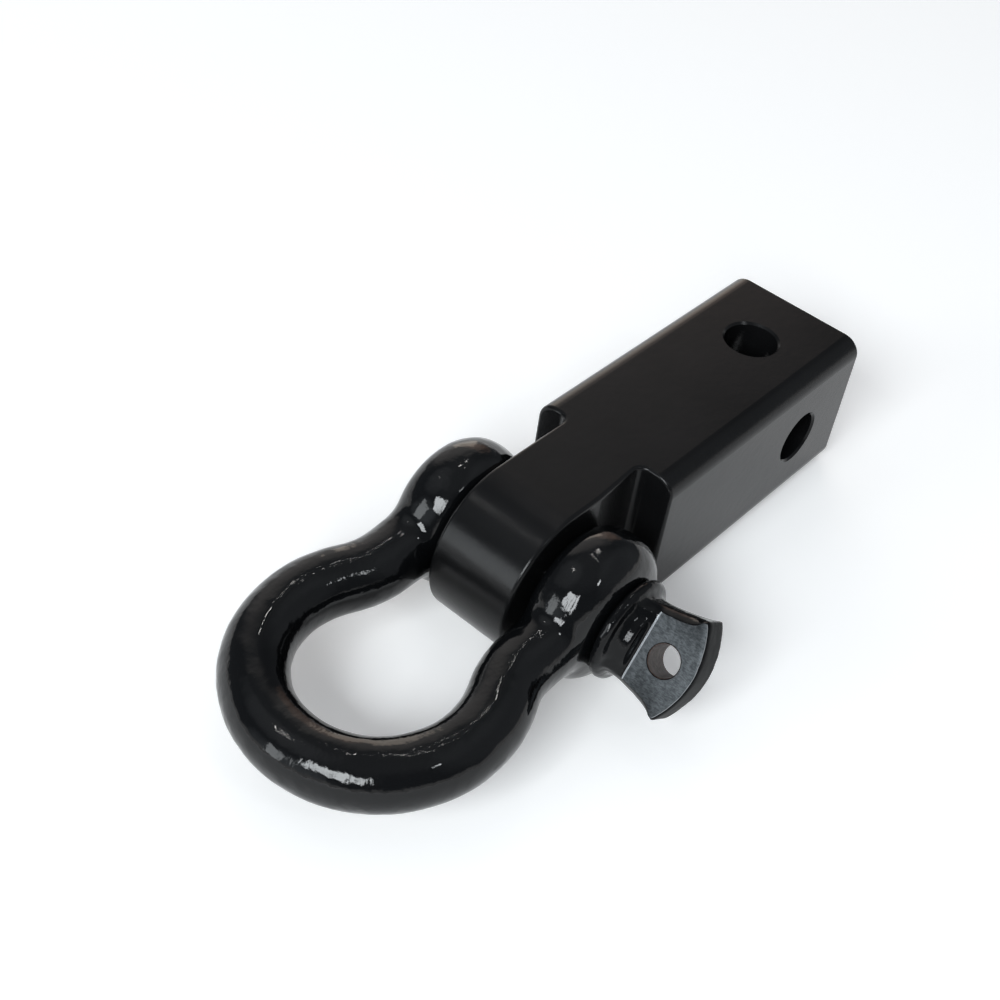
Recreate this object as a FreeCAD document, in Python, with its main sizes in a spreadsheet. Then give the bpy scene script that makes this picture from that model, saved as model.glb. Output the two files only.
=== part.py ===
"""Receiver shackle mount: a square bar for a tow hitch receiver, with a screw-pin bow shackle on its nose.

Three solid pieces, in millimetres. The origin is where the two hitch pin holes of the bar cross.
+X runs along the bar to the shackle, +Y towards the head of the shackle's screw pin, +Z up.
"""

import FreeCAD
import Part
import math
import os
import re
import Sketcher

Vector = FreeCAD.Vector

# Every size that can be set by itself: the aliases of the sheet's cells, in millimetres and degrees.
SIZES = {
    # the square bar, with its two crossing hitch pin holes
    "bar_width": 50.0,
    "bar_height": 50.0,
    "bar_edge_radius": 6.0,
    "bar_end_chamfer": 0.8,
    "rear_length": 27.4,
    "shoulder_reach": 74.9,
    "hitch_hole_diameter": 17.2,
    "hitch_hole_chamfer": 0.7,
    # the flat tongue on the bar's nose
    "tongue_thickness": 28.4,
    "tongue_edge_radius": 1.2,
    "pin_axis_from_shoulder": 32.0,
    "shoulder_fillet": 3.0,
    "relief_length": 19.4,
    "relief_depth": 1.2,
    "tongue_bore_clearance": 1.2,
    "bore_chamfer": 0.6,
    # the bow shackle
    "jaw_play": 1.7,
    "ear_thickness": 20.6,
    "ear_diameter": 45.6,
    "ear_outer_rounding": 8.4,
    "ear_inner_rounding": 4.6,
    "ear_bore_clearance": 0.9,
    "stock_diameter": 19.4,
    "leg_inset": 0.2,
    "waist_radius": 26.3,
    "bow_centre_reach": 58.0,
    "bow_radius": 33.5,
    "neck_root_height": 41.0,
    "neck_middle_share": 0.655,
    "neck_middle_height": 29.0,
    "bow_droop": 3.9,
    # the screw pin with its eye head
    "pin_diameter": 22.2,
    "pin_tip_proud": 3.4,
    "pin_tip_chamfer": 2.0,
    "thread_depth": 1.1,
    "thread_relief": 1.5,
    "collar_seat_gap": 0.3,
    "collar_diameter": 31.8,
    "collar_thickness": 3.8,
    "collar_rounding": 1.7,
    "neck_diameter": 23.6,
    "neck_slope": 1.6,
    "head_turn": 54.0,
    "head_thickness": 11.8,
    "head_ramp_height": 20.0,
    "head_flat_start": 9.6,
    "head_root_width": 24.0,
    "head_tip_width": 32.0,
    "head_corner_reach": 22.6,
    "head_tip_reach": 27.3,
    "head_side_radius": 90.0,
    "head_side_rounding": 3.2,
    "head_tip_rounding": 0.7,
    "eye_diameter": 9.4,
    "eye_reach": 17.2,
    "eye_chamfer": 0.4,
}

# Sizes that follow from the others, as formulas of the same sheet.
DERIVED = {
    "nose_radius": "bar_height / 2",
    "pin_axis_reach": "shoulder_reach + pin_axis_from_shoulder",
    "tongue_half": "tongue_thickness / 2",
    "tongue_bore": "pin_diameter + tongue_bore_clearance",
    "ear_bore": "pin_diameter + ear_bore_clearance",
    "ear_radius": "ear_diameter / 2",
    # each ear stands clear of the tongue's side by the jaw's play, and each leg leaves its ear near the middle
    "ear_inner_face": "tongue_half + jaw_play",
    "ear_outer_face": "ear_inner_face + ear_thickness",
    "leg_offset": "(ear_inner_face + ear_outer_face) / 2 - leg_inset",
    # the waist arc touches the straight leg and the round of the bow
    "waist_reach": "bow_centre_reach - sqrt((bow_radius + waist_radius)^2 - (leg_offset + waist_radius)^2)",
    "neck_middle_reach": "waist_reach * neck_middle_share",
    "bow_share": "bow_radius / (bow_radius + waist_radius)",
    "touch_reach": "bow_centre_reach - (bow_centre_reach - waist_reach) * bow_share",
    "touch_offset": "(leg_offset + waist_radius) * bow_share",
    "collar_seat": "ear_outer_face + collar_seat_gap",
    "collar_top": "collar_seat + collar_thickness",
    "pin_tip": "ear_outer_face + pin_tip_proud",
    "thread_core_radius": "pin_diameter / 2 - thread_depth",
    "head_crown": "head_tip_reach - head_corner_reach",
    "head_tip_radius": "((head_tip_width / 2)^2 + head_crown^2) / (2 * head_crown)",
}

NAMES = set(SIZES) | set(DERIVED)

doc = FreeCAD.newDocument("receiver_shackle_mount")
sheet = doc.addObject("Spreadsheet::Sheet", "Sizes")


def fill_sheet():
    """Write each size as a plain number with its alias, and each derived size as a formula below them."""
    rows = [(name, repr(value)) for name, value in SIZES.items()]
    rows += [(name, "=" + formula) for name, formula in DERIVED.items()]
    for row, (name, content) in enumerate(rows, 1):
        sheet.set("A%d" % row, name)
        sheet.set("B%d" % row, content)
        sheet.setAlias("B%d" % row, name)
        if name in DERIVED:
            doc.recompute()
    doc.recompute()


def formula(text):
    """An expression in the sheet's names, spelled out so that any object can read it."""
    def spelled(word):
        return "<<Sizes>>." + word.group() if word.group() in NAMES else word.group()

    return re.sub(r"[a-z]\w+", spelled, text)


def value(text):
    """What an expression in the sheet's names comes to now."""
    return float(sheet.evalExpression(formula(text)))


def new_body(label):
    body = doc.addObject("PartDesign::Body", label)
    body.Label = label
    return body


def new_sketch(body, name, plane_role):
    """A sketch on one of the body's own origin planes."""
    sketch = body.newObject("Sketcher::SketchObject", name)
    plane = [feature for feature in body.Origin.OriginFeatures if feature.Role == plane_role][0]
    sketch.AttachmentSupport = [(plane, "")]
    sketch.MapMode = "FlatFace"
    return sketch


def drive(sketch, constraint, text):
    """Add a dimension to a sketch and let an expression drive it."""
    index = sketch.addConstraint(constraint)
    sketch.setExpression("Constraints[%d]" % index, formula(text))


def pin_vertex(sketch, edge, end, x_text, y_text):
    """Hold one end or the centre of an edge at a place measured from the sketch's origin."""
    drive(sketch, Sketcher.Constraint("DistanceX", -1, 1, edge, end, value(x_text)), x_text)
    drive(sketch, Sketcher.Constraint("DistanceY", -1, 1, edge, end, value(y_text)), y_text)


def arc_between(start, end, radius, turn):
    """The smaller arc from start to end: turn is 1 to the left of the way and -1 to the right."""
    chord = end - start
    half = chord.Length / 2
    rise = math.sqrt(max(radius * radius - half * half, 0.0))
    left = Vector(-chord.y, chord.x, 0).normalize()
    centre = start + chord * 0.5 + left * (rise * turn)
    middle = centre - left * (radius * turn)
    return Part.Arc(start, middle, end)


def draw(sketch, start, steps, closed=True):
    """An outline or path of joined edges.

    start is (x, y). Each step is (x, y) for a straight edge, or (x, y, radius, turn) for an arc.
    All are expressions in the sheet's names, and they drive the sketch's dimensions.
    """
    here = start
    for step in steps:
        first = Vector(value(here[0]), value(here[1]), 0)
        last = Vector(value(step[0]), value(step[1]), 0)
        if len(step) == 2:
            edge = sketch.addGeometry(Part.LineSegment(first, last), False)
        else:
            edge = sketch.addGeometry(arc_between(first, last, value(step[2]), step[3]), False)
        here = step
        # an arc that turns right is kept by the sketch with its ends swapped
        near, far = (2, 1) if len(step) == 4 and step[3] < 0 else (1, 2)
        if edge:
            sketch.addConstraint(Sketcher.Constraint("Coincident", edge - 1, last_end, edge, near))
        else:
            first_end = near
            if not closed:
                pin_vertex(sketch, edge, near, start[0], start[1])
        pin_vertex(sketch, edge, far, step[0], step[1])
        if len(step) == 4:
            drive(sketch, Sketcher.Constraint("Radius", edge, value(step[2])), step[2])
        last_end = far
    if closed:
        sketch.addConstraint(Sketcher.Constraint("Coincident", edge, last_end, 0, first_end))


def draw_circle(sketch, x_text, y_text, diameter_text):
    radius = value(diameter_text) / 2
    centre = Vector(value(x_text), value(y_text), 0)
    edge = sketch.addGeometry(Part.Circle(centre, Vector(0, 0, 1), radius), False)
    pin_vertex(sketch, edge, 3, x_text, y_text)
    drive(sketch, Sketcher.Constraint("Diameter", edge, radius * 2), diameter_text)


def draw_ellipse(sketch, x_text, half_width_text, half_height_text):
    """An ellipse centred on the sketch's x axis, its long way upright."""
    centre = Vector(value(x_text), 0, 0)
    top = Vector(centre.x, value(half_height_text), 0)
    side = Vector(centre.x + value(half_width_text), 0, 0)
    edge = sketch.addGeometry(Part.Ellipse(top, side, centre), False)
    sketch.exposeInternalGeometry(edge)
    pin_vertex(sketch, edge, 3, x_text, "0")
    major, minor = edge + 1, edge + 2
    sketch.addConstraint(Sketcher.Constraint("Vertical", major))
    drive(sketch, Sketcher.Constraint("Distance", major, value(half_height_text) * 2), "2 * (%s)" % half_height_text)
    drive(sketch, Sketcher.Constraint("Distance", minor, value(half_width_text) * 2), "2 * (%s)" % half_width_text)


def pad(body, name, sketch, length_text):
    """Material on both sides of the sketch, over a length in all."""
    feature = body.newObject("PartDesign::Pad", name)
    feature.Profile = sketch
    feature.SideType = "Symmetric"
    feature.setExpression("Length", formula(length_text))
    sketch.Visibility = False
    doc.recompute()
    return feature


def cut_through(body, name, sketch):
    """A cut right through the body, to both sides of the sketch."""
    feature = body.newObject("PartDesign::Pocket", name)
    feature.Profile = sketch
    feature.SideType = "Symmetric"
    feature.Type = "ThroughAll"
    sketch.Visibility = False
    doc.recompute()
    return feature


def revolve(body, name, sketch):
    """A full turn about the sketch's own upright axis."""
    feature = body.newObject("PartDesign::Revolution", name)
    feature.Profile = sketch
    feature.ReferenceAxis = (sketch, ["V_Axis"])
    feature.Angle = 360.0
    sketch.Visibility = False
    doc.recompute()
    return feature


def edges_where(body, wanted):
    """Names of the tip's edges whose curve and middle point suit."""
    names = []
    for number, edge in enumerate(body.Tip.Shape.Edges, 1):
        middle = edge.valueAt((edge.FirstParameter + edge.LastParameter) / 2)
        if wanted(edge, middle):
            names.append("Edge%d" % number)
    return names


def dress(body, kind, name, wanted, size_text):
    """A fillet or a chamfer on the edges that are wanted."""
    base = body.Tip
    names = edges_where(body, wanted)
    feature = body.newObject("PartDesign::" + kind, name)
    feature.Base = (base, names)
    feature.setExpression("Radius" if kind == "Fillet" else "Size", formula(size_text))
    doc.recompute()
    return feature


def near(a, b, tolerance=0.01):
    return abs(a - b) < tolerance


def is_circle(edge, radius):
    curve = edge.Curve
    return isinstance(curve, Part.Circle) and near(curve.Radius, radius)


def make_receiver_shank():
    """The bar: one forged and milled block, with a full-height tongue rounded about the pin's axis."""
    body = new_body("receiver_shank")

    side = new_sketch(body, "BarSide", "XZ_Plane")
    draw(side, ("-rear_length", "-bar_height / 2"), [
        ("pin_axis_reach", "-bar_height / 2"),
        ("pin_axis_reach + nose_radius", "0", "nose_radius", 1),
        ("pin_axis_reach", "bar_height / 2", "nose_radius", 1),
        ("-rear_length", "bar_height / 2"),
        ("-rear_length", "-bar_height / 2"),
    ])
    pad(body, "Bar", side, "bar_width")

    half_width = value("bar_width / 2")
    half_height = value("bar_height / 2")
    rear = value("-rear_length")
    shoulder = value("shoulder_reach")

    def long_edge(edge, middle):
        return isinstance(edge.Curve, Part.Line) and near(abs(middle.y), half_width) \
            and near(abs(middle.z), half_height)

    dress(body, "Fillet", "LongEdges", long_edge, "bar_edge_radius")

    cheeks = new_sketch(body, "TongueSides", "XY_Plane")
    beyond_nose = "pin_axis_reach + nose_radius + bar_width"
    draw(cheeks, ("shoulder_reach", "bar_width"), [
        ("shoulder_reach", "tongue_half - relief_depth"),
        ("shoulder_reach + relief_length", "tongue_half"),
        (beyond_nose, "tongue_half"),
        (beyond_nose, "bar_width"),
        ("shoulder_reach", "bar_width"),
    ])
    cut_through(body, "PinHeadSideCut", cheeks)

    far_cheek = new_sketch(body, "TongueFarSide", "XY_Plane")
    draw(far_cheek, ("shoulder_reach", "-bar_width"), [
        (beyond_nose, "-bar_width"),
        (beyond_nose, "-tongue_half"),
        ("shoulder_reach", "-tongue_half"),
        ("shoulder_reach", "-bar_width"),
    ])
    cut_through(body, "FarSideCut", far_cheek)

    def root_of_tongue(edge, middle):
        return isinstance(edge.Curve, Part.Line) and near(middle.x, shoulder) and near(middle.z, 0) \
            and abs(middle.y) < half_width - value("bar_edge_radius")

    dress(body, "Fillet", "TongueRoots", root_of_tongue, "shoulder_fillet")

    bore = new_sketch(body, "PinBoreCircle", "XZ_Plane")
    draw_circle(bore, "pin_axis_reach", "0", "tongue_bore")
    cut_through(body, "PinBore", bore)

    across = new_sketch(body, "HitchHoleAcrossCircle", "XZ_Plane")
    draw_circle(across, "0", "0", "hitch_hole_diameter")
    cut_through(body, "HitchHoleAcross", across)

    upright = new_sketch(body, "HitchHoleUprightCircle", "XY_Plane")
    draw_circle(upright, "0", "0", "hitch_hole_diameter")
    cut_through(body, "HitchHoleUpright", upright)

    hitch_radius = value("hitch_hole_diameter / 2")
    bore_radius = value("tongue_bore / 2")
    tongue_half = value("tongue_half")

    def hitch_rim(edge, middle):
        return is_circle(edge, hitch_radius) and (near(abs(middle.y), half_width) or near(abs(middle.z), half_height))

    dress(body, "Chamfer", "HitchHoleRims", hitch_rim, "hitch_hole_chamfer")

    def bore_rim(edge, middle):
        return is_circle(edge, bore_radius) and near(abs(middle.y), tongue_half)

    dress(body, "Chamfer", "PinBoreRims", bore_rim, "bore_chamfer")

    dress(body, "Chamfer", "RearEnd", lambda edge, middle: near(middle.x, rear), "bar_end_chamfer")

    def tongue_rim(edge, middle):
        on_side = near(abs(middle.y), tongue_half) and middle.x > shoulder + value("shoulder_fillet")
        on_relief = middle.y > tongue_half - value("relief_depth") and middle.x > shoulder + value("shoulder_fillet")
        outline = near(abs(middle.z), half_height) or is_circle(edge, value("nose_radius"))
        return (on_side or on_relief) and outline

    dress(body, "Fillet", "TongueRims", tongue_rim, "tongue_edge_radius")
    return body


def make_shackle_bow():
    """The forged bow: round stock bent to a horseshoe, its necks swelling into two rounded ears."""
    body = new_body("shackle_bow")

    path = new_sketch(body, "BowPath", "XY_Plane")
    draw(path, ("0", "leg_offset"), [
        ("waist_reach", "leg_offset"),
        ("touch_reach", "touch_offset", "waist_radius", 1),
        ("bow_centre_reach + bow_radius", "0", "bow_radius", -1),
        ("touch_reach", "-touch_offset", "bow_radius", -1),
        ("waist_reach", "-leg_offset", "waist_radius", 1),
        ("0", "-leg_offset"),
    ], closed=False)
    stock = new_sketch(body, "StockSection", "YZ_Plane")
    draw_circle(stock, "leg_offset", "0", "stock_diameter")
    doc.recompute()
    bow = body.newObject("PartDesign::AdditivePipe", "Bow")
    bow.Profile = stock
    bow.Spine = (path, ["Edge%d" % number for number in range(1, len(path.Shape.Edges) + 1)])
    doc.recompute()

    ear = new_sketch(body, "EarHalfSection", "XY_Plane")
    draw(ear, ("0", "ear_inner_face"), [
        ("ear_radius - ear_inner_rounding", "ear_inner_face"),
        ("ear_radius", "ear_inner_face + ear_inner_rounding", "ear_inner_rounding", 1),
        ("ear_radius", "ear_outer_face - ear_outer_rounding"),
        ("ear_radius - ear_outer_rounding", "ear_outer_face", "ear_outer_rounding", 1),
        ("0", "ear_outer_face"),
        ("0", "ear_inner_face"),
    ])
    ear_solid = revolve(body, "Ear", ear)

    root = new_sketch(body, "NeckRoot", "YZ_Plane")
    draw_ellipse(root, "leg_offset", "stock_diameter / 2", "neck_root_height / 2")
    middle = new_sketch(body, "NeckMiddle", "YZ_Plane")
    draw_ellipse(middle, "leg_offset", "stock_diameter / 2", "neck_middle_height / 2")
    middle.setExpression("AttachmentOffset.Base.z", formula("neck_middle_reach"))
    waist = new_sketch(body, "NeckWaist", "YZ_Plane")
    draw_circle(waist, "leg_offset", "0", "stock_diameter")
    waist.setExpression("AttachmentOffset.Base.z", formula("waist_reach"))
    doc.recompute()
    neck = body.newObject("PartDesign::AdditiveLoft", "Neck")
    neck.Profile = root
    neck.Sections = [middle, waist]
    doc.recompute()

    mirror = body.newObject("PartDesign::Mirrored", "FarEar")
    mirror.Originals = [ear_solid, neck]
    mirror.MirrorPlane = ([plane for plane in body.Origin.OriginFeatures if plane.Role == "XZ_Plane"][0], [""])
    body.Tip = mirror
    doc.recompute()

    bore = new_sketch(body, "EarBoreCircle", "XZ_Plane")
    draw_circle(bore, "0", "0", "ear_bore")
    cut_through(body, "EarBores", bore)

    bore_radius = value("ear_bore / 2")
    dress(body, "Chamfer", "EarBoreRims", lambda edge, middle: is_circle(edge, bore_radius), "bore_chamfer")

    body.Placement = FreeCAD.Placement(Vector(0, 0, 0), FreeCAD.Rotation(Vector(0, 1, 0), value("bow_droop")))
    body.setExpression("Placement.Base.x", formula("pin_axis_reach"))
    body.setExpression("Placement.Rotation.Angle", formula("bow_droop"))
    return body


def make_shackle_pin():
    """The screw pin: a turned shank with a collar, and a flared flat head with an eye."""
    body = new_body("shackle_pin")

    section = new_sketch(body, "PinHalfSection", "XY_Plane")
    draw(section, ("0", "-pin_tip"), [
        ("thread_core_radius - pin_tip_chamfer", "-pin_tip"),
        ("thread_core_radius", "-pin_tip + pin_tip_chamfer"),
        ("thread_core_radius", "-ear_inner_face + thread_relief"),
        ("pin_diameter / 2", "-ear_inner_face + thread_relief + thread_depth"),
        ("pin_diameter / 2", "collar_seat"),
        ("collar_diameter / 2 - collar_rounding", "collar_seat"),
        ("collar_diameter / 2", "collar_seat + collar_rounding", "collar_rounding", 1),
        ("collar_diameter / 2", "collar_top - collar_rounding"),
        ("collar_diameter / 2 - collar_rounding", "collar_top", "collar_rounding", 1),
        ("neck_diameter / 2", "collar_top"),
        ("neck_diameter / 2 - neck_slope", "collar_seat + head_flat_start"),
        ("0", "collar_seat + head_flat_start"),
        ("0", "-pin_tip"),
    ])
    revolve(body, "TurnedPin", section)

    outline = new_sketch(body, "HeadOutline", "XY_Plane")
    corner_height = "collar_seat + head_corner_reach"
    draw(outline, ("head_root_width / 2", "collar_top"), [
        ("head_tip_width / 2", corner_height, "head_side_radius", -1),
        ("0", "collar_seat + head_tip_reach", "head_tip_radius", 1),
        ("-head_tip_width / 2", corner_height, "head_tip_radius", 1),
        ("-head_root_width / 2", "collar_top", "head_side_radius", -1),
        ("head_root_width / 2", "collar_top"),
    ])
    pad(body, "Head", outline, "head_ramp_height")

    beyond = "collar_seat + head_tip_reach + head_thickness"
    for name, side in (("FlatNear", ""), ("FlatFar", "-")):
        ramp = new_sketch(body, name + "Section", "YZ_Plane")
        draw(ramp, ("collar_top", side + "head_ramp_height / 2"), [
            ("collar_seat + head_flat_start", side + "head_thickness / 2"),
            (beyond, side + "head_thickness / 2"),
            (beyond, side + "collar_diameter"),
            ("collar_top", side + "collar_diameter"),
            ("collar_top", side + "head_ramp_height / 2"),
        ])
        cut_through(body, name, ramp)

    flat_height = value("head_thickness / 2")
    flat_start = value("collar_seat + head_flat_start")

    corner_reach = value(corner_height)

    def side_rim(edge, middle):
        return near(abs(middle.z), flat_height) and flat_start < middle.y < corner_reach and abs(middle.x) > 1

    def tip_rim(edge, middle):
        return near(abs(middle.z), flat_height) and middle.y > corner_reach

    dress(body, "Fillet", "HeadSideRims", side_rim, "head_side_rounding")
    dress(body, "Fillet", "HeadTipRims", tip_rim, "head_tip_rounding")

    eye = new_sketch(body, "EyeCircle", "XY_Plane")
    draw_circle(eye, "0", "collar_seat + eye_reach", "eye_diameter")
    cut_through(body, "Eye", eye)

    eye_radius = value("eye_diameter / 2")
    dress(body, "Chamfer", "EyeRims", lambda edge, middle: is_circle(edge, eye_radius), "eye_chamfer")

    body.Placement = FreeCAD.Placement(Vector(0, 0, 0), FreeCAD.Rotation(Vector(0, 1, 0), value("head_turn")))
    body.setExpression("Placement.Base.x", formula("pin_axis_reach"))
    body.setExpression("Placement.Rotation.Angle", formula("head_turn"))
    return body


def check(bodies):
    """Stop if any object failed, or a piece isn't one valid solid."""
    for item in doc.Objects:
        if "Invalid" in item.State or "Error" in item.State:
            raise RuntimeError("%s failed: %s" % (item.Name, item.State))
    for body in bodies:
        shape = body.Shape
        if shape.isNull() or not shape.isValid() or len(shape.Solids) != 1:
            raise RuntimeError("%s isn't one valid solid" % body.Label)


def write(bodies):
    os.makedirs("parts", exist_ok=True)
    for body in bodies:
        body.Shape.exportStep("parts/%s.step" % body.Label)
        box = body.Shape.optimalBoundingBox()
        print("%s: %.1f cm3, x %.1f to %.1f, y %.1f to %.1f, z %.1f to %.1f" % (
            body.Label, body.Shape.Volume / 1000.0, box.XMin, box.XMax, box.YMin, box.YMax, box.ZMin, box.ZMax))


fill_sheet()
pieces = [make_receiver_shank(), make_shackle_bow(), make_shackle_pin()]
doc.recompute()
check(pieces)
write(pieces)
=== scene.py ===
# %% [markdown]
# The object is a hitch receiver shackle mount: a square steel bar that slides into a vehicle's
# receiver tube, and a bow shackle that hangs on a screw pin at its nose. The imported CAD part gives
# every size. This script dresses it: it keeps the milled bar, rebuilds the forged pieces, and gives
# each surface its paint.

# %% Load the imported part
import math

import bmesh
import bpy
from mathutils import Matrix, Vector


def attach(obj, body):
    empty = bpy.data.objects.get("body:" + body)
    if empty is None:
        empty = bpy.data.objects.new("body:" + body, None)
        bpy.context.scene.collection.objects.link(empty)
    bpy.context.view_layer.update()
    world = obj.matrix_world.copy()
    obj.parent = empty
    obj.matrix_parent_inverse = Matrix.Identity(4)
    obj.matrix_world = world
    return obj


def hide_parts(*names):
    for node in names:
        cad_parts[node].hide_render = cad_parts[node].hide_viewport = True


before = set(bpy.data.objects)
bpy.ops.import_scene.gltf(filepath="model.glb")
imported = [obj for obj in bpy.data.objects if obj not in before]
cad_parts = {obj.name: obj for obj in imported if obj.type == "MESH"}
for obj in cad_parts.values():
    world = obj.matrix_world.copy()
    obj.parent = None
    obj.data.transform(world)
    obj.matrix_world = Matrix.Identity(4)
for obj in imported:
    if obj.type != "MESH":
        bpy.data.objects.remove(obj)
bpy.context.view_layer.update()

# %% [markdown]
# Blender works in metres, and a machinist thinks in millimetres. The forged pieces are drawn in
# millimetres, and one last step makes them metres and puts them on the pin's axis.

# %% Shared sizes, in millimetres
MM = 0.001
PIN_AXIS = 106.9
BOW_DROOP = math.radians(3.9)
EAR_INNER_FACE = 15.9
EAR_THICKNESS = 20.6
EAR_RADIUS = 22.8
STOCK_RADIUS = 9.7
LEG_OFFSET = 26.0
WAIST_REACH = 29.0
BOW_CENTRE = 58.0
BOW_RADIUS = 33.5

# %% [markdown]
# The camera is a normal lens held close, above and to the right of the bow. It leans a little, as a
# hand-held camera does.

# %% Camera
CAMERA_PLACE = (0.3705, 0.1770, 0.3139)
CAMERA_TURN = (46.866, -6.457, 131.520)
CAMERA_LENS = 55.89


def add_camera():
    data = bpy.data.cameras.new("camera")
    data.sensor_width = 36.0
    data.lens = CAMERA_LENS
    camera = bpy.data.objects.new("camera", data)
    camera.location = CAMERA_PLACE
    camera.rotation_euler = [math.radians(angle) for angle in CAMERA_TURN]
    bpy.context.scene.collection.objects.link(camera)
    bpy.context.scene.camera = camera


add_camera()

# %% [markdown]
# Black paint shows little colour of its own: what the eye reads as shape is mostly the reflection of
# the room. So the lamps are soft boxes with clear edges, set where the real highlights come from.

# %% Lamps
def lamp(name, azimuth, elevation, distance, width, height, power, colour=(1, 1, 1)):
    """A soft box that stands at a bearing and a height round the object, and faces it."""
    data = bpy.data.lights.new(name, "AREA")
    data.shape = "RECTANGLE"
    data.size = width
    data.size_y = height
    data.energy = power
    data.color = colour
    box = bpy.data.objects.new(name, data)
    turn, lift = math.radians(azimuth), math.radians(elevation)
    away = Vector((math.cos(turn) * math.cos(lift), math.sin(turn) * math.cos(lift), math.sin(lift)))
    box.location = Vector((0.1, 0.0, 0.0)) + away * distance
    box.rotation_euler = away.to_track_quat("Z", "Y").to_euler()
    bpy.context.scene.collection.objects.link(box)
    return box


FAR = 3.0
COOL = (0.93, 0.975, 1.0)
PLAIN = (1.0, 0.98, 0.95)
WINDOW_BEARINGS = (-3, 5, 13, 21, 30)
for number, bearing in enumerate(WINDOW_BEARINGS):
    lamp(f"window_pane_{number}", bearing, 38 - 0.15 * bearing, FAR, 0.30, 1.00, 16, COOL)
lamp("cream_screen", -135, 12, FAR, 1.00, 1.20, 4.6, (1.0, 0.86, 0.72))
lamp("window_wall", -22, 16, FAR, 0.85, 1.20, 13, COOL)
lamp("door_glass", 84, 50, FAR, 0.24, 0.22, 3.2, COOL)
lamp("spot_one", -143, 59, FAR, 0.05, 0.05, 0.7, PLAIN)
lamp("spot_two", -130, 66, FAR, 0.05, 0.05, 0.7, PLAIN)
lamp("spot_three", -152, 74, FAR, 0.05, 0.05, 0.7, PLAIN)
lamp("spot_four", -62, 60, FAR, 0.08, 0.08, 0.9, PLAIN)
print("lamps", len(bpy.data.lights))

# %% [markdown]
# Between the lamps the room is dim. Its few paler places are soft round patches, and a white skirting
# carries the floor on past its edge, so that no view shows a horizon.

# %% World
ROOM_GREY = (0.135, 0.145, 0.16)
SKIRTING_WHITE = (0.95, 0.95, 0.95)
SKIRTING_TOP = 4
SKIRTING_FADE = 5
# bearing, height, where the patch is full and where it ends in degrees, and its colour
ROOM_PATCHES = (
    (0, 90, 15, 50, (0.14, 0.145, 0.15)),
    (-127, 27, 12, 32, (0.62, 0.58, 0.55)),
    (-149, 20, 4, 16, (0.42, 0.24, 0.16)),
    (-12, 6, 10, 34, (0.55, 0.60, 0.64)),
    (132, 34, 18, 48, (0.18, 0.19, 0.20)),
    (-52, 55, 6, 26, (0.25, 0.26, 0.27)),
)


def add_world():
    """A dim room with a few soft, paler places, each read by its direction alone."""
    world = bpy.data.worlds.new("room")
    world.use_nodes = True
    nodes, links = world.node_tree.nodes, world.node_tree.links
    direction = nodes.new("ShaderNodeTexCoord").outputs["Generated"]
    colour = None
    for bearing, height, full, end, tint in ROOM_PATCHES:
        turn, lift = math.radians(bearing), math.radians(height)
        near = nodes.new("ShaderNodeVectorMath")
        near.operation = "DOT_PRODUCT"
        near.inputs[1].default_value = (
            math.cos(turn) * math.cos(lift), math.sin(turn) * math.cos(lift), math.sin(lift))
        links.new(direction, near.inputs[0])
        fade = nodes.new("ShaderNodeMapRange")
        fade.interpolation_type = "SMOOTHSTEP"
        fade.inputs["From Min"].default_value = math.cos(math.radians(end))
        fade.inputs["From Max"].default_value = math.cos(math.radians(full))
        links.new(near.outputs["Value"], fade.inputs["Value"])
        patch = nodes.new("ShaderNodeMix")
        patch.data_type = "RGBA"
        patch.blend_type = "ADD"
        links.new(fade.outputs["Result"], patch.inputs["Factor"])
        if colour is None:
            patch.inputs[6].default_value = (*ROOM_GREY, 1)
        else:
            links.new(colour, patch.inputs[6])
        patch.inputs[7].default_value = (*tint, 1)
        colour = patch.outputs[2]
    # the skirting hides what lies low in the room
    split = nodes.new("ShaderNodeSeparateXYZ")
    links.new(direction, split.inputs["Vector"])
    low = nodes.new("ShaderNodeMapRange")
    low.interpolation_type = "SMOOTHSTEP"
    low.inputs["From Min"].default_value = math.sin(math.radians(SKIRTING_TOP))
    low.inputs["From Max"].default_value = math.sin(math.radians(SKIRTING_TOP + SKIRTING_FADE))
    low.inputs["To Min"].default_value = 1
    low.inputs["To Max"].default_value = 0
    links.new(split.outputs["Z"], low.inputs["Value"])
    skirting = nodes.new("ShaderNodeMix")
    skirting.data_type = "RGBA"
    links.new(low.outputs["Result"], skirting.inputs["Factor"])
    links.new(colour, skirting.inputs[6])
    skirting.inputs[7].default_value = (*SKIRTING_WHITE, 1)
    links.new(skirting.outputs[2], nodes["Background"].inputs["Color"])
    bpy.context.scene.world = world


add_world()
bpy.context.scene.view_settings.view_transform = "Standard"
print("room patches", len(ROOM_PATCHES))

# %% [markdown]
# The floor is a plain pale sheet, wide enough that no view sees its edge. The picture was cut out on
# white, so the sheet adds a little white of its own to what the camera and the gloss see of it. The
# object's soft shadow stays on it.

# %% Floor
FLOOR_HEIGHT = -25.2 * MM
FLOOR_REACH = 6.0
PAPER_WHITE = (0.96, 0.955, 0.95)
# how much of its own white the sheet adds near the object and far off, and where that rises, in metres
FLOOR_WHITE = 0.20
FLOOR_FAR_WHITE = 0.80
WHITE_RISES = (0.4, 3.0)


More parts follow.
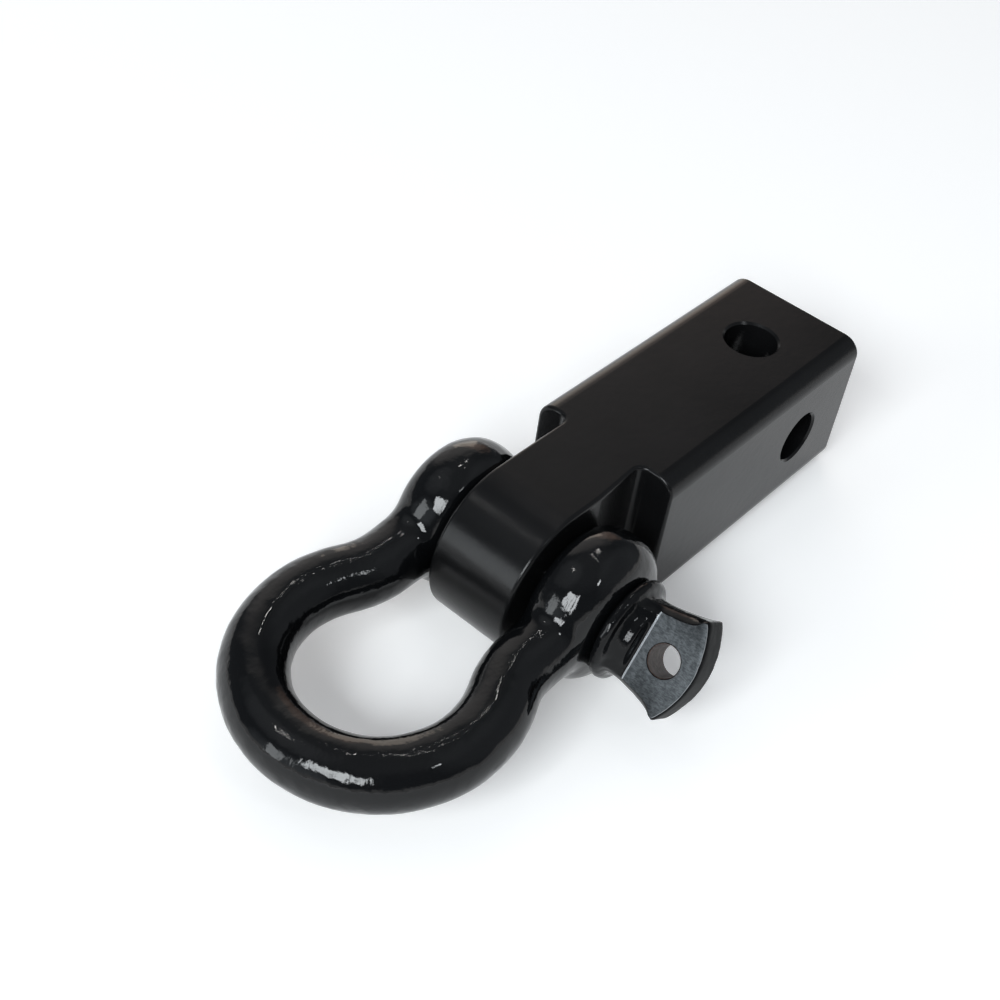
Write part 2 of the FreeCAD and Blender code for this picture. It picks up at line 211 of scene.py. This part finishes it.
def add_floor():
    mesh = bpy.data.meshes.new("floor")
    sheet = bmesh.new()
    level = Matrix.Translation((0, 0, FLOOR_HEIGHT))
    bmesh.ops.create_circle(sheet, cap_ends=True, segments=96, radius=FLOOR_REACH, matrix=level)
    sheet.to_mesh(mesh)
    sheet.free()
    floor = bpy.data.objects.new("floor", mesh)
    bpy.context.scene.collection.objects.link(floor)
    paper = bpy.data.materials.new("pale_paper")
    paper.use_nodes = True
    shader = paper.node_tree.nodes["Principled BSDF"]
    shader.inputs["Base Color"].default_value = (*PAPER_WHITE, 1)
    shader.inputs["Roughness"].default_value = 0.9
    shader.inputs["Specular IOR Level"].default_value = 0.1
    nodes, links = paper.node_tree.nodes, paper.node_tree.links
    rays = nodes.new("ShaderNodeLightPath")
    seen = rays.outputs["Is Camera Ray"]
    for kind in ("Is Glossy Ray", "Is Transmission Ray"):
        either = nodes.new("ShaderNodeMath")
        either.operation = "MAXIMUM"
        links.new(seen, either.inputs[0])
        links.new(rays.outputs[kind], either.inputs[1])
        seen = either.outputs[0]
    share = nodes.new("ShaderNodeMath")
    share.operation = "MULTIPLY"
    links.new(seen, share.inputs[0])
    # far from the object the lamps no longer reach the sheet, so more of its white is its own
    distance = nodes.new("ShaderNodeVectorMath")
    distance.operation = "LENGTH"
    links.new(nodes.new("ShaderNodeTexCoord").outputs["Object"], distance.inputs[0])
    far_white = nodes.new("ShaderNodeMapRange")
    far_white.interpolation_type = "SMOOTHSTEP"
    far_white.inputs["From Min"].default_value = WHITE_RISES[0]
    far_white.inputs["From Max"].default_value = WHITE_RISES[1]
    far_white.inputs["To Min"].default_value = FLOOR_WHITE
    far_white.inputs["To Max"].default_value = FLOOR_FAR_WHITE
    links.new(distance.outputs["Value"], far_white.inputs["Value"])
    links.new(far_white.outputs["Result"], share.inputs[1])
    links.new(share.outputs[0], shader.inputs["Emission Strength"])
    shader.inputs["Emission Color"].default_value = (1, 1, 1, 1)
    mesh.materials.append(paper)


add_floor()
print("floor at", FLOOR_HEIGHT)

# %% [markdown]
# A few small helpers make the node trees readable: each adds one node and joins it up.

# %% Node helpers
class Recipe:
    """One material's node tree, with the shader and the object's own coordinates ready."""

    def __init__(self, name):
        self.material = bpy.data.materials.new(name)
        self.material.use_nodes = True
        self.tree = self.material.node_tree
        self.shader = self.tree.nodes["Principled BSDF"]
        self.place = self.tree.nodes.new("ShaderNodeTexCoord").outputs["Object"]

    def join(self, source, socket):
        if isinstance(source, (int, float)):
            socket.default_value = source
        else:
            self.tree.links.new(source, socket)

    def noise(self, scale, detail=2.0, roughness=0.5, place=None):
        node = self.tree.nodes.new("ShaderNodeTexNoise")
        node.inputs["Scale"].default_value = scale
        node.inputs["Detail"].default_value = detail
        node.inputs["Roughness"].default_value = roughness
        self.join(place or self.place, node.inputs["Vector"])
        return node.outputs["Fac"]

    def span(self, source, low, high, to_low, to_high, smooth=False):
        node = self.tree.nodes.new("ShaderNodeMapRange")
        node.interpolation_type = "SMOOTHSTEP" if smooth else "LINEAR"
        self.join(source, node.inputs["Value"])
        node.inputs["From Min"].default_value = low
        node.inputs["From Max"].default_value = high
        node.inputs["To Min"].default_value = to_low
        node.inputs["To Max"].default_value = to_high
        return node.outputs["Result"]

    def math(self, operation, first, second):
        node = self.tree.nodes.new("ShaderNodeMath")
        node.operation = operation
        self.join(first, node.inputs[0])
        self.join(second, node.inputs[1])
        return node.outputs[0]

    def blend(self, share, first, second):
        node = self.tree.nodes.new("ShaderNodeMix")
        node.data_type = "RGBA"
        self.join(share, node.inputs["Factor"])
        for socket, colour in ((node.inputs[6], first), (node.inputs[7], second)):
            if isinstance(colour, tuple):
                socket.default_value = (*colour, 1)
            else:
                self.join(colour, socket)
        return node.outputs[2]

    def bump(self, height, distance, strength=1.0, after=None):
        node = self.tree.nodes.new("ShaderNodeBump")
        node.inputs["Strength"].default_value = strength
        node.inputs["Distance"].default_value = distance
        self.join(height, node.inputs["Height"])
        if after is not None:
            self.join(after, node.inputs["Normal"])
        return node.outputs["Normal"]


# %% [markdown]
# The bar is milled from solid and powder coated. A satin coat has a fine skin like an orange's,
# a fraction of a millimetre across, and it dulls a little where it has been handled.

# %% Satin coat for the bar
COAT_DARK = (0.0035, 0.0036, 0.0038)
COAT_PALE = (0.0055, 0.0056, 0.0060)


def satin_coat():
    coat = Recipe("satin_black_coat")
    grain = coat.noise(2600, 3, 0.6)
    waves = coat.noise(420, 2, 0.5)
    smears = coat.noise(38, 3, 0.55)
    tint = coat.span(smears, 0.3, 0.7, 0.0, 1.0)
    coat.join(coat.blend(tint, COAT_DARK, COAT_PALE), coat.shader.inputs["Base Color"])
    coat.join(coat.span(smears, 0.25, 0.75, 0.19, 0.25), coat.shader.inputs["Roughness"])
    skin = coat.bump(waves, 0.00006, 0.5)
    skin = coat.bump(grain, 0.00002, 0.6, skin)
    coat.join(skin, coat.shader.inputs["Normal"])
    coat.shader.inputs["Specular IOR Level"].default_value = 0.20
    return coat.material


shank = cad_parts["receiver_shank"]
shank.data.materials.clear()
shank.data.materials.append(satin_coat())
print("bar", len(shank.data.polygons), "faces")

# %% [markdown]
# The shackle's bow is a forging. Round bar is bent to a horseshoe and its ends are upset into two
# swollen ears. Here a ring of vertices is spun round the bow and round the waist, drawn along the
# leg while it grows taller, and mirrored. Two turned barrels make the ears. A voxel remesh then
# welds the shapes into one skin, and smoothing lets them flow together as hot steel does.

# %% Draw the stock of the bow
# the waist is an arc that leaves the leg straight and meets the bow's arc without a kink
WAIST_SPAN = BOW_CENTRE - WAIST_REACH
WAIST_RADIUS = (WAIST_SPAN ** 2 + LEG_OFFSET ** 2 - BOW_RADIUS ** 2) / (2 * (BOW_RADIUS - LEG_OFFSET))
WAIST_CENTRE = LEG_OFFSET + WAIST_RADIUS
BOW_ANGLE = math.pi - math.atan2(WAIST_CENTRE, WAIST_SPAN)
WAIST_ANGLE = math.pi / 2 - math.atan2(WAIST_CENTRE, WAIST_SPAN)
# from the inner face outwards: the ear's radius less its greatest, and the place across it
EAR_PROFILE = (
    (-EAR_RADIUS, 0.0), (-5.0, 0.0), (-3.3, 0.35), (-2.0, 1.3), (-1.15, 2.8), (-0.5, 5.0), (-0.1, 7.6),
    (0.0, 9.8), (-0.2, 12.0), (-0.95, 14.3), (-2.2, 16.4), (-4.0, 18.3), (-6.4, 19.8),
    (-9.0, EAR_THICKNESS), (-EAR_RADIUS, EAR_THICKNESS),
)
# relaxing the welded skin draws it in by about this much
RELAX_LOSS = 0.3
# along the leg to the ear: the place, then how much taller and wider the ring grows there
NECK_STATIONS = (
    (26.0, 1.01, 0.995), (22.5, 1.06, 1.0), (19.0, 1.10, 1.0), (15.5, 1.10, 1.01), (12.0, 1.08, 1.02),
    (8.5, 1.06, 1.02), (5.0, 1.03, 1.02), (1.5, 1.02, 1.0),
)


def open_ring(made):
    return [part for part in made["geom_last"] if isinstance(part, bmesh.types.BMEdge)]


def draw_half_bow(bow):
    """Spin one quarter of the horseshoe from the crown to the waist, then draw the leg into the ear."""
    upright = Matrix.Translation((BOW_CENTRE + BOW_RADIUS, 0, 0)) @ Matrix.Rotation(math.pi / 2, 4, "X")
    ring = bmesh.ops.create_circle(bow, segments=40, radius=STOCK_RADIUS + RELAX_LOSS, matrix=upright)
    edges = list({edge for vertex in ring["verts"] for edge in vertex.link_edges})
    made = bmesh.ops.spin(
        bow, geom=edges, cent=(BOW_CENTRE, 0, 0), axis=(0, 0, 1), angle=BOW_ANGLE, steps=40)
    made = bmesh.ops.spin(
        bow, geom=open_ring(made), cent=(WAIST_REACH, WAIST_CENTRE, 0), axis=(0, 0, -1),
        angle=WAIST_ANGLE, steps=9)
    edges = open_ring(made)
    at = WAIST_REACH
    for reach, taller, wider in NECK_STATIONS:
        drawn = bmesh.ops.extrude_edge_only(bow, edges=edges)["geom"]
        edges = [part for part in drawn if isinstance(part, bmesh.types.BMEdge)]
        vertices = [part for part in drawn if isinstance(part, bmesh.types.BMVert)]
        bmesh.ops.translate(bow, verts=vertices, vec=(reach - at, 0, 0))
        centre = Matrix.Translation((-reach, -LEG_OFFSET, 0))
        bmesh.ops.scale(bow, verts=vertices, vec=(1, wider, taller), space=centre)
        at = reach
    bmesh.ops.edgeloop_fill(bow, edges=edges)


def turn_whole(mesh, corners, centre, axis, steps):
    """Join the corners to a profile and spin it once round, as on a lathe."""
    line = [mesh.edges.new(pair) for pair in zip(corners, corners[1:])]
    bmesh.ops.spin(
        mesh, geom=corners + line, cent=centre, axis=axis, angle=2 * math.pi, steps=steps, use_merge=True)


def add_ears(bow):
    """Two barrels: a forged ear swells across its width, and more on the outside."""
    for side in (1, -1):
        corners = []
        for less, across in EAR_PROFILE:
            radius = EAR_RADIUS + RELAX_LOSS + less if less > -EAR_RADIUS else 0.0
            corners.append(bow.verts.new((radius, side * (EAR_INNER_FACE + across), 0)))
        turn_whole(bow, corners, (0, 0, 0), (0, 1, 0), 96)
    bmesh.ops.remove_doubles(bow, verts=bow.verts, dist=0.001)


def rough_bow():
    bow = bmesh.new()
    draw_half_bow(bow)
    bmesh.ops.mirror(bow, geom=bow.verts[:] + bow.edges[:] + bow.faces[:], axis="Y", merge_dist=0.01)
    bmesh.ops.remove_doubles(bow, verts=bow.verts, dist=0.01)
    add_ears(bow)
    bmesh.ops.recalc_face_normals(bow, faces=bow.faces)
    bmesh.ops.scale(bow, verts=bow.verts, vec=(MM, MM, MM))
    mesh = bpy.data.meshes.new("forged_bow")
    bow.to_mesh(mesh)
    bow.free()
    piece = bpy.data.objects.new("forged_bow", mesh)
    bpy.context.scene.collection.objects.link(piece)
    return piece


def bake_modifiers(piece):
    """Make what the modifiers show the piece's own mesh, and drop them."""
    bpy.context.view_layer.update()
    shown = piece.evaluated_get(bpy.context.evaluated_depsgraph_get())
    mesh = bpy.data.meshes.new_from_object(shown)
    piece.modifiers.clear()
    piece.data = mesh


forged_bow = rough_bow()
print("rough bow", len(forged_bow.data.polygons), "faces")

# %% Weld, relax and roughen the bow
BOW_BORE = 11.55


def weld(piece, voxel, rounds):
    """Make the overlapping shapes one skin, and relax it so that they flow together."""
    skin = piece.modifiers.new("weld", "REMESH")
    skin.mode = "VOXEL"
    skin.voxel_size = voxel * MM
    relax = piece.modifiers.new("relax", "SMOOTH")
    relax.factor = 0.5
    relax.iterations = rounds


def subdivide(piece):
    finer = piece.modifiers.new("finer", "SUBSURF")
    finer.levels = finer.render_levels = 1


def lumps(piece, name, scale, height):
    """Push the skin in and out a little, as hammer and scale leave it."""
    texture = bpy.data.textures.new(name, "CLOUDS")
    texture.noise_scale = scale * MM
    texture.noise_depth = 1
    push = piece.modifiers.new(name, "DISPLACE")
    push.texture = texture
    push.texture_coords = "LOCAL"
    push.strength = height * MM
    push.mid_level = 0.5


def new_piece(name, mesh):
    """Turn a millimetre bmesh into an object in metres."""
    bmesh.ops.recalc_face_normals(mesh, faces=mesh.faces)
    bmesh.ops.scale(mesh, verts=mesh.verts, vec=(MM, MM, MM))
    data = bpy.data.meshes.new(name)
    mesh.to_mesh(data)
    mesh.free()
    piece = bpy.data.objects.new(name, data)
    bpy.context.scene.collection.objects.link(piece)
    return piece


def cut_away(piece, tool):
    """Take the tool's shape out of the piece, and clear the tool away."""
    cut = piece.modifiers.new("cut", "BOOLEAN")
    cut.operation = "DIFFERENCE"
    cut.solver = "EXACT"
    cut.object = tool
    bake_modifiers(piece)
    bpy.data.objects.remove(tool)


def boring_bar(radius, reach):
    """A round tool along Y, which the pin hole is cut with."""
    bar = bmesh.new()
    bmesh.ops.create_cone(
        bar, cap_ends=True, segments=96, radius1=radius, radius2=radius, depth=reach,
        matrix=Matrix.Rotation(math.pi / 2, 4, "X"))
    return new_piece("boring_bar", bar)


weld(forged_bow, 1.4, 14)
bake_modifiers(forged_bow)
print("welded bow", len(forged_bow.data.polygons), "faces")
subdivide(forged_bow)
lumps(forged_bow, "hammer_lumps", 9, 0.26)
lumps(forged_bow, "scale_pits", 2.6, 0.05)
bake_modifiers(forged_bow)
cut_away(forged_bow, boring_bar(BOW_BORE, 100))
print("finished bow", len(forged_bow.data.polygons), "faces")

# %% [markdown]
# The bow is hung on the pin's axis, tipped down a little as it lies in the picture. Its place goes
# into its mesh, so that its object stays at the origin.

# %% Hang the bow
hang = Matrix.Translation((PIN_AXIS * MM, 0, 0)) @ Matrix.Rotation(BOW_DROOP, 4, "Y")
forged_bow.data.transform(hang)
forged_bow.data.shade_smooth()
forged_bow.data.set_sharp_from_angle(angle=math.radians(50))
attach(forged_bow, "shackle")
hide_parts("shackle_bow")
print("bow hung at", round(PIN_AXIS * MM, 4))

# %% [markdown]
# Thick gloss paint covers the forging. It fills the smallest pits and leaves a wet, wavy skin.

# %% Gloss paint for the forgings
PAINT_DARK = (0.0020, 0.0023, 0.0027)
PAINT_PALE = (0.0034, 0.0036, 0.0040)
PAINT_SHINE = 0.34


def gloss_paint(name):
    paint = Recipe(name)
    waves = paint.noise(230, 2, 0.45)
    pits = paint.noise(1100, 2, 0.6)
    patches = paint.noise(60, 3, 0.5)
    rough_places = paint.span(patches, 0.44, 0.60, 0.25, 1.0, smooth=True)
    paint.join(paint.span(patches, 0.3, 0.7, 0.035, 0.09), paint.shader.inputs["Roughness"])
    paint.join(paint.blend(patches, PAINT_DARK, PAINT_PALE), paint.shader.inputs["Base Color"])
    skin = paint.bump(paint.math("MULTIPLY", waves, rough_places), 0.00034, 0.5)
    skin = paint.bump(paint.math("MULTIPLY", pits, rough_places), 0.00009, 0.5, skin)
    paint.join(skin, paint.shader.inputs["Normal"])
    paint.shader.inputs["Specular IOR Level"].default_value = PAINT_SHINE
    return paint


bow_paint = gloss_paint("gloss_black_paint").material
forged_bow.data.materials.clear()
forged_bow.data.materials.append(bow_paint)
print("bow paint", bow_paint.name)

# %% [markdown]
# The screw pin is a forging too. Its blank is a collar, a round neck and a flared plate, and they are
# welded and relaxed as the bow was. Then it is machined as the real one is: both flats are ground,
# which leaves crisp edges, and the eye is drilled through them with a small countersink.

# %% Pin sizes, in millimetres
COLLAR_SEAT = 36.8
COLLAR_TOP = 40.6
COLLAR_RADIUS = 15.9
PIN_RADIUS = 11.1
THREAD_CORE = 10.0
PIN_TIP = -39.9
THREAD_END = -14.4
HEAD_TURN = math.radians(54)
FLAT_HALF = 5.9
FLAT_START = 46.4
EYE_REACH = 54.0
EYE_RADIUS = 4.7
DRILL_HALF = 9.0
SINK_RADIUS = EYE_RADIUS + 3.5
SINK_DEPTH = 5.5
CROWN = 4.7
HEAD_CORNER = 59.4
TIP_ROUND = 1.2
SIDE_ROUND = 4.6
# the flared plate's rows from the collar to the tip: along the pin, half width, half thickness
PLATE_ROWS = (
    (38.5, 11.4, 10.6), (40.8, 11.8, 10.2), (43.0, 12.1, 8.9), (45.0, 12.5, 7.3), (46.4, 12.8, 6.4),
    (47.6, 13.0, 6.25), (50.6, 13.6, 6.25), (53.6, 14.3, 6.25), (56.6, 15.1, 6.25), (59.4, 16.0, 6.25),
)


def along_y(where):
    """Stand a shape that was made along Z up along Y, with its middle at this place."""
    return Matrix.Translation((0, where, 0)) @ Matrix.Rotation(-math.pi / 2, 4, "X")


def disc(mesh, low, high, low_radius, high_radius, rounding=0.0, segments=96):
    """A round slice of the pin between two places along it, with both rims rounded when a rounding is
    given.
    """
    made = bmesh.ops.create_cone(
        mesh, cap_ends=True, segments=segments, radius1=low_radius, radius2=high_radius, depth=high - low,
        matrix=along_y((low + high) / 2))
    if rounding:
        rims = {edge for vertex in made["verts"] for edge in vertex.link_edges
                if abs(edge.verts[0].co.y - edge.verts[1].co.y) < 0.01}
        bmesh.ops.bevel(
            mesh, geom=list(rims), offset=rounding, offset_type="OFFSET", affect="EDGES", segments=6,
            profile=0.5, material=-1)


def flared_plate(mesh):
    """A thickened flat grid, whose rows are stretched to the head's outline and crowned at the tip."""
    rows = len(PLATE_ROWS)
    grid = bmesh.ops.create_grid(mesh, x_segments=14, y_segments=rows - 1, size=1)
    lower = grid["verts"]
    faces = list({face for vertex in lower for face in vertex.link_faces})
    drawn = bmesh.ops.extrude_face_region(mesh, geom=faces)
    upper = [part for part in drawn["geom"] if isinstance(part, bmesh.types.BMVert)]
    for vertices, side in ((lower, -1), (upper, 1)):
        for vertex in vertices:
            row = round((vertex.co.y + 1) / 2 * (rows - 1))
            along, half_width, half_thickness = PLATE_ROWS[row]
            toward_tip = max(0.0, (along - FLAT_START) / (HEAD_CORNER - FLAT_START))
            crown = CROWN * (1 - vertex.co.x ** 2) * toward_tip
            vertex.co = Vector((vertex.co.x * half_width, along + crown, side * half_thickness))
    bmesh.ops.recalc_face_normals(mesh, faces=mesh.faces)
    rims = {edge for vertex in lower + upper for edge in vertex.link_edges
            if edge.calc_face_angle(0) > 1.0 and abs(edge.verts[0].co.z - edge.verts[1].co.z) < 3}
    tip = [edge for edge in rims if min(vertex.co.y for vertex in edge.verts) > HEAD_CORNER - 0.1]
    sides = [edge for edge in rims if abs(edge.verts[0].co.y - edge.verts[1].co.y) > 1 and edge not in tip]
    bmesh.ops.bevel(
        mesh, geom=tip, offset=TIP_ROUND, offset_type="OFFSET", affect="EDGES", segments=4, profile=0.5,
        material=-1)
    sides = [edge for edge in sides if edge.is_valid]
    bmesh.ops.bevel(
        mesh, geom=sides, offset=SIDE_ROUND, offset_type="OFFSET", affect="EDGES", segments=6, profile=0.5,
        material=-1)


def head_blank():
    blank = bmesh.new()
    flared_plate(blank)
    disc(blank, COLLAR_SEAT, COLLAR_TOP, COLLAR_RADIUS + 0.1, COLLAR_RADIUS + 0.1, 1.7)
    disc(blank, COLLAR_SEAT + 0.8, COLLAR_TOP + 1.2, 14.2, 12.6)
    disc(blank, COLLAR_SEAT + 0.8, 45.5, 12.6, 10.9)
    piece = new_piece("screw_pin_head", blank)
    weld(piece, 0.75, 8)
    subdivide(piece)
    lumps(piece, "head_lumps", 6, 0.22)
    bake_modifiers(piece)
    return piece


def grind_flats(piece):
    for side in (1, -1):
        box = bmesh.new()
        bmesh.ops.create_cube(box, size=1)
        bmesh.ops.scale(box, verts=box.verts, vec=(50, 30, 10))
        bmesh.ops.translate(box, verts=box.verts, vec=(0, FLAT_START + 15, side * (FLAT_HALF + 5)))
        cut_away(piece, new_piece("grinder", box))


def drill_eye(piece):
    """The drill and its two countersinks are one turned tool."""
    profile = (
        (0, -DRILL_HALF), (SINK_RADIUS, -DRILL_HALF), (EYE_RADIUS, -SINK_DEPTH),
        (EYE_RADIUS, SINK_DEPTH), (SINK_RADIUS, DRILL_HALF), (0, DRILL_HALF),
    )
    drill = bmesh.new()
    corners = [drill.verts.new((radius, EYE_REACH, height)) for radius, height in profile]
    turn_whole(drill, corners, (0, EYE_REACH, 0), (0, 0, 1), 72)
    bmesh.ops.remove_doubles(drill, verts=drill.verts, dist=0.001)
    cut_away(piece, new_piece("drill", drill))


def finish_pin_part(piece, sharp):
    """Turn the head as it is screwed in, put it on the pin's axis and shade it."""
    piece.data.transform(Matrix.Translation((PIN_AXIS * MM, 0, 0)) @ Matrix.Rotation(HEAD_TURN, 4, "Y"))
    piece.data.shade_smooth()
    piece.data.set_sharp_from_angle(angle=math.radians(sharp))
    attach(piece, "screw_pin")


screw_head = head_blank()
print("head blank", len(screw_head.data.polygons), "faces")
grind_flats(screw_head)
drill_eye(screw_head)
finish_pin_part(screw_head, 35)
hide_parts("shackle_pin")
print("finished head", len(screw_head.data.polygons), "faces")

# %% [markdown]
# The pin's shank is turned, so it is a profile spun round the axis. The thread is the same operator
# with a rise at each step: a small ridge that climbs as it goes round.

# %% Turn the shank and cut its thread
THREAD_PITCH = 2.8
THREAD_STEPS = 48
SHANK_PROFILE = (
    (0, PIN_TIP), (THREAD_CORE - 2.2, PIN_TIP), (THREAD_CORE - 0.3, PIN_TIP + 1.6),
    (THREAD_CORE, PIN_TIP + 2.2), (THREAD_CORE, THREAD_END),
    (PIN_RADIUS - 0.3, THREAD_END + 1.0), (PIN_RADIUS, THREAD_END + 1.5),
    (PIN_RADIUS, COLLAR_SEAT + 0.6), (0, COLLAR_SEAT + 0.6),
)


def turned_shank():
    shank_mesh = bmesh.new()
    corners = [shank_mesh.verts.new((radius, along, 0)) for radius, along in SHANK_PROFILE]
    turn_whole(shank_mesh, corners, (0, 0, 0), (0, 1, 0), 96)
    bmesh.ops.remove_doubles(shank_mesh, verts=shank_mesh.verts, dist=0.001)
    return new_piece("screw_pin_shank", shank_mesh)


def thread_ridge():
    """A ridge with a blunt crest, spun up the core like a screw."""
    ridge = bmesh.new()
    start = PIN_TIP + 1.9
    root, crest = THREAD_CORE - 0.5, PIN_RADIUS - 0.05
    section = ((root, -1.45), (root, 1.45), (crest, 0.2), (crest, -0.2))
    corners = [ridge.verts.new((radius, start + rise, 0)) for radius, rise in section]
    ridge.faces.new(corners)
    turns = int((THREAD_END - start) / THREAD_PITCH)
    bmesh.ops.spin(
        ridge, geom=ridge.faces[:] + ridge.edges[:] + ridge.verts[:], cent=(0, 0, 0), axis=(0, -1, 0),
        angle=2 * math.pi * turns, steps=THREAD_STEPS * turns, dvec=(0, THREAD_PITCH / THREAD_STEPS, 0))
    return new_piece("screw_pin_thread", ridge)


screw_shank = turned_shank()
finish_pin_part(screw_shank, 30)
screw_thread = thread_ridge()
finish_pin_part(screw_thread, 30)
print("thread", len(screw_thread.data.polygons), "faces")

# %% [markdown]
# The head was dipped in the same paint before its two flats were ground, so they are bare, dull grey
# steel. A painted highlight, a pale steel line, runs along each edge of the flats.

# %% Pin finishes
HIGHLIGHT_LINE_WIDTH = 0.22
PIN_IOR = 1.38
STEEL_DARK = (0.029, 0.033, 0.036)
STEEL_PALE = (0.068, 0.074, 0.079)
PAINTED_EDGE_HIGHLIGHT = (0.50, 0.52, 0.54)
BROWN_DARK = (0.030, 0.016, 0.012)
BROWN_PALE = (0.075, 0.052, 0.044)


def pin_paint():
    """Gloss paint, with masks in the head's own frame for the flats, a painted highlight along their rims,
    the tip and the eye.
    """
    paint = gloss_paint("gloss_black_pin_paint")
    paint.shader.inputs["IOR"].default_value = PIN_IOR
    turned = paint.tree.nodes.new("ShaderNodeMapping")
    turned.vector_type = "TEXTURE"
    turned.inputs["Location"].default_value = (PIN_AXIS * MM, 0, 0)
    turned.inputs["Rotation"].default_value = (0, HEAD_TURN, 0)
    paint.join(paint.place, turned.inputs["Vector"])
    split = paint.tree.nodes.new("ShaderNodeSeparateXYZ")
    paint.join(turned.outputs["Vector"], split.inputs["Vector"])
    depth = paint.math("ABSOLUTE", split.outputs["Z"], 0)
    along = split.outputs["Y"]
    on_flat = paint.span(depth, (FLAT_HALF - 0.05) * MM, (FLAT_HALF - 0.02) * MM, 0, 1)
    past_start = paint.span(along, (FLAT_START - 0.15) * MM, (FLAT_START - 0.05) * MM, 0, 1)
    bare = paint.math("MULTIPLY", on_flat, past_start)
    # a painted highlight: a pale line just over the rim of each flat, and along the line where it starts
    highlight_near_rim = paint.span(depth, (FLAT_HALF - HIGHLIGHT_LINE_WIDTH) * MM, (FLAT_HALF - 0.12) * MM, 0, 0.7)
    highlight_over_rim = paint.math("MULTIPLY", highlight_near_rim, paint.math("SUBTRACT", 1, on_flat))
    at_tip = paint.span(along, (HEAD_CORNER - 1.0) * MM, HEAD_CORNER * MM, 0, 1)
    highlight_over_rim = paint.math("MULTIPLY", highlight_over_rim, at_tip)
    highlight_at_start = paint.span(along, FLAT_START * MM, (FLAT_START + HIGHLIGHT_LINE_WIDTH) * MM, 1, 0)
    edge = paint.math("MAXIMUM", highlight_over_rim, paint.math("MULTIPLY", bare, highlight_at_start))
    grain_place = paint.tree.nodes.new("ShaderNodeMapping")
    grain_place.inputs["Rotation"].default_value = (0, 0, math.radians(35))
    grain_place.inputs["Scale"].default_value = (1.0, 0.33, 1.0)
    paint.join(turned.outputs["Vector"], grain_place.inputs["Vector"])
    scratches = paint.noise(2600, 3, 0.65, grain_place.outputs["Vector"])
    mottle = paint.span(paint.noise(700, 3, 0.6), 0.25, 0.75, 0.35, 0.65)
    patchy = paint.math("MULTIPLY", scratches, mottle)
    steel = paint.blend(paint.span(patchy, 0.17, 0.33, 0, 1), STEEL_DARK, STEEL_PALE)
    # the pale painted highlight line is laid over the flats' steel colour
    steel = paint.blend(edge, steel, PAINTED_EDGE_HIGHLIGHT)
    # ground is the bare flats together with the painted highlight line along their edges
    ground = paint.math("MAXIMUM", bare, edge)
    # the drill left the eye's wall bare, and it has browned
    from_eye = paint.tree.nodes.new("ShaderNodeVectorMath")
    from_eye.operation = "DISTANCE"
    flat_place = paint.tree.nodes.new("ShaderNodeCombineXYZ")
    paint.join(split.outputs["X"], flat_place.inputs["X"])
    paint.join(along, flat_place.inputs["Y"])
    paint.join(flat_place.outputs["Vector"], from_eye.inputs[0])
    from_eye.inputs[1].default_value = (0, EYE_REACH * MM, 0)
    in_eye = paint.span(
        from_eye.outputs["Value"], (EYE_RADIUS + 0.1) * MM, (EYE_RADIUS + 0.2) * MM, 1, 0)
    in_eye = paint.math("MULTIPLY", in_eye, paint.math("SUBTRACT", 1, on_flat))
    brown = paint.blend(paint.span(mottle, 0.4, 0.6, 0, 1), BROWN_DARK, BROWN_PALE)
    black = paint.shader.inputs["Base Color"].links[0].from_socket
    painted = paint.blend(in_eye, black, brown)
    # the tip's wall is knocked about, so its paint has gone dull
    dull = paint.math("MULTIPLY", at_tip, paint.math("SUBTRACT", 1, on_flat))
    paint.join(paint.blend(ground, painted, steel), paint.shader.inputs["Base Color"])
    gloss = paint.shader.inputs["Roughness"].links[0].from_socket
    roughness = paint.tree.nodes.new("ShaderNodeMix")
    matt = paint.math("MAXIMUM", ground, paint.math("MAXIMUM", in_eye, dull))
    paint.join(matt, roughness.inputs["Factor"])
    paint.join(gloss, roughness.inputs["A"])
    roughness.inputs["B"].default_value = 0.45
    paint.join(roughness.outputs["Result"], paint.shader.inputs["Roughness"])
    paint.join(paint.math("MULTIPLY", ground, 0.6), paint.shader.inputs["Metallic"])
    paint.join(paint.span(dull, 0, 1, PAINT_SHINE, 0.08), paint.shader.inputs["Specular IOR Level"])
    return paint.material


pin_finish = pin_paint()
for piece in (screw_head, screw_shank, screw_thread):
    piece.data.materials.clear()
    piece.data.materials.append(pin_finish)
print("pin finish", pin_finish.name)
